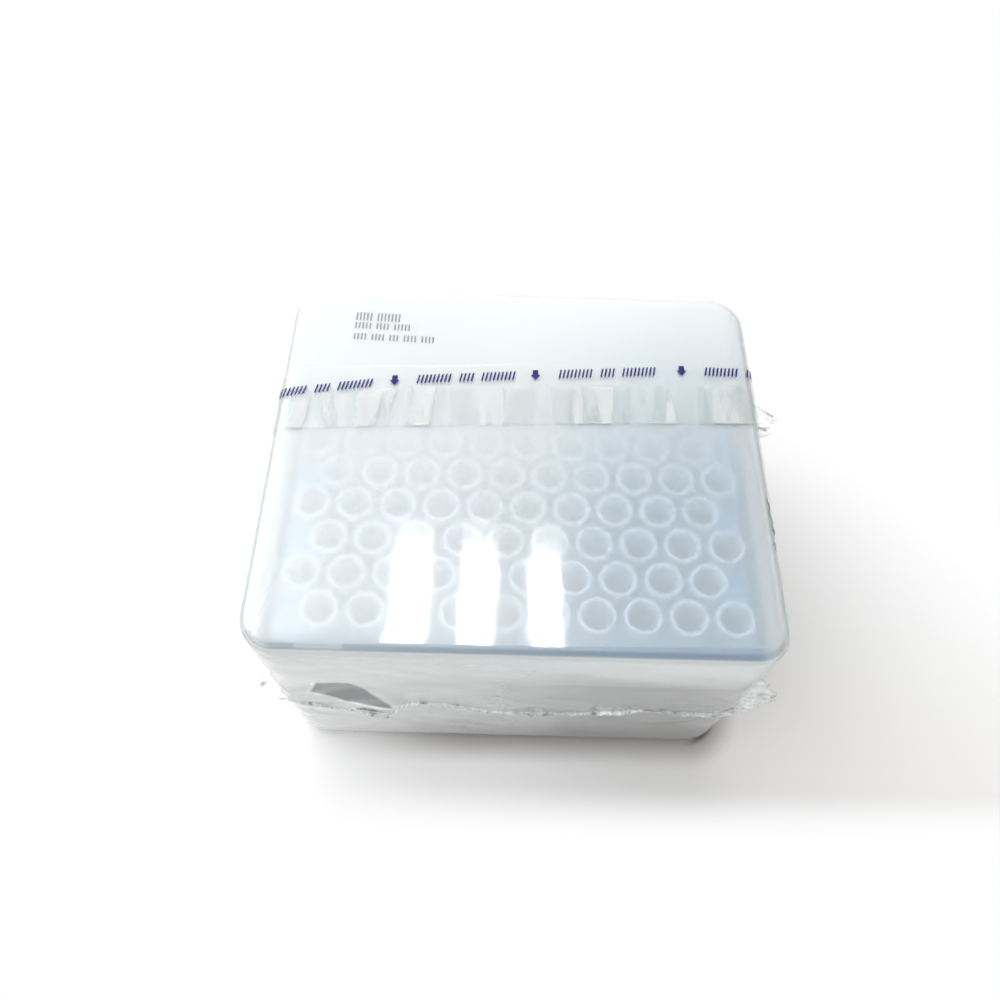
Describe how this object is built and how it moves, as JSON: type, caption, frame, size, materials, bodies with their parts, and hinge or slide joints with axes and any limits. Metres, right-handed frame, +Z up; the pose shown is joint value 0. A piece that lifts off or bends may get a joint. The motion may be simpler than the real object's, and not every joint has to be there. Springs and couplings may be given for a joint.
{
  "type": "pipette tip box",
  "caption": "Hinged translucent box of large pipette tips in a raised blue deck, sealed in clear shrink film with a seam round its sides and a tear strip across the lid.",
  "frame": {"origin": "middle of the flat underside that the wrapped box rests on, halfway across its width and its depth", "axes": "+X along the box's width, to the right of someone facing its front; +Y from the front to the hinge side; +Z up through the lid"},
  "size_m": [0.152, 0.1148, 0.0786],
  "materials": {
    "natural_plastic": "frosted translucent natural polypropylene",
    "blue_plastic": "satin pale blue moulded plastic",
    "clear_film": "clear glossy shrink film",
    "strip_film": "clear wrinkled tear strip with dark blue marks"
  },
  "bodies": {
    "root": {"base_box": "natural_plastic", "hinged_lid": "natural_plastic", "tip_deck": "blue_plastic", "film_wrap": "clear_film", "tear_strip": "strip_film"}
  },
  "joints": []
}
